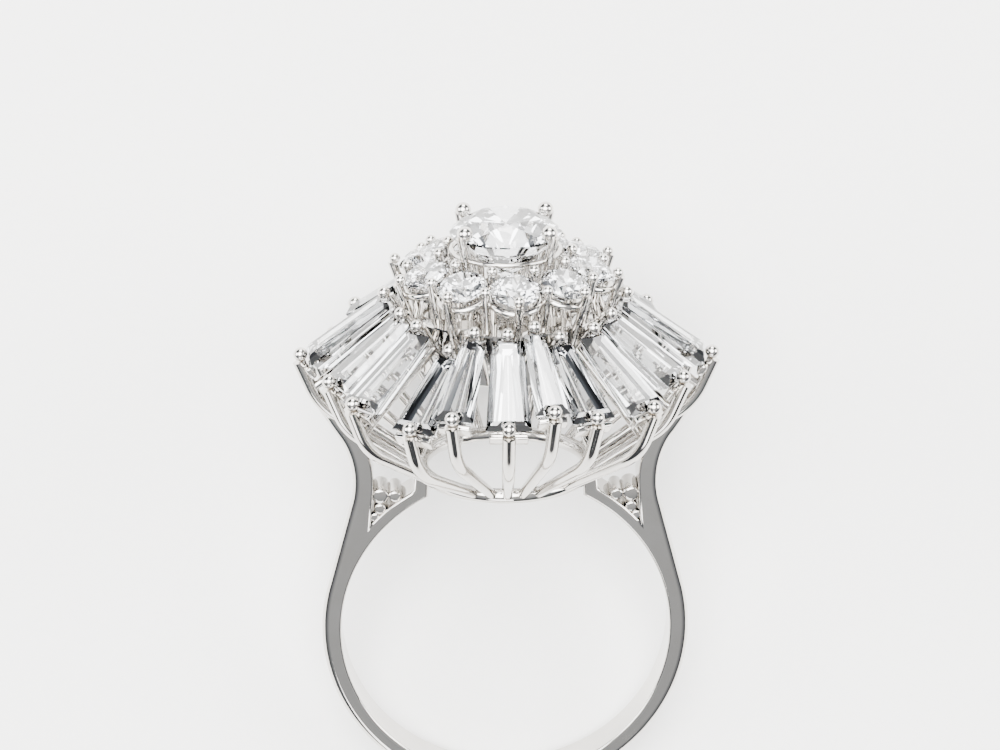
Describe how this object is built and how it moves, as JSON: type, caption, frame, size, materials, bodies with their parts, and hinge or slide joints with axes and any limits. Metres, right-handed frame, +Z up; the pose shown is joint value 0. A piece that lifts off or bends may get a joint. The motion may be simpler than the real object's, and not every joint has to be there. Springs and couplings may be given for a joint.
{
  "type": "ring",
  "caption": "Finger ring with a split-shoulder shank and a raised head: a large round stone in a circle of small ones over a flared skirt of tapered step-cut stones.",
  "frame": {"origin": "centre of the bounding box, at floor height", "axes": "The ring lies on a table on its fingertip side. +Z is up. +Y runs from the shank towards the head, and +X to the right of the head as seen from the wearer's fingertip side turned upwards. The finger's axis leans about 21 degrees from vertical."},
  "size_m": [0.0214, 0.0306, 0.0194],
  "materials": {
    "white_gold": "high polish",
    "clear_stone": "faceted and polished"
  },
  "bodies": {
    "root": {"mount": "white_gold", "centre_stone": "clear_stone", "halo_stone_01": "clear_stone", "halo_stone_02": "clear_stone", "halo_stone_03": "clear_stone", "halo_stone_04": "clear_stone", "halo_stone_05": "clear_stone", "halo_stone_06": "clear_stone", "halo_stone_07": "clear_stone", "halo_stone_08": "clear_stone", "halo_stone_09": "clear_stone", "halo_stone_10": "clear_stone", "baguette_01": "clear_stone", "baguette_02": "clear_stone", "baguette_03": "clear_stone", "baguette_04": "clear_stone", "baguette_05": "clear_stone", "baguette_06": "clear_stone", "baguette_07": "clear_stone", "baguette_08": "clear_stone", "baguette_09": "clear_stone", "baguette_10": "clear_stone", "baguette_11": "clear_stone", "baguette_12": "clear_stone", "baguette_13": "clear_stone", "baguette_14": "clear_stone", "baguette_15": "clear_stone", "baguette_16": "clear_stone", "baguette_17": "clear_stone", "baguette_18": "clear_stone", "baguette_19": "clear_stone", "baguette_20": "clear_stone", "baguette_21": "clear_stone", "baguette_22": "clear_stone"}
  },
  "joints": []
}
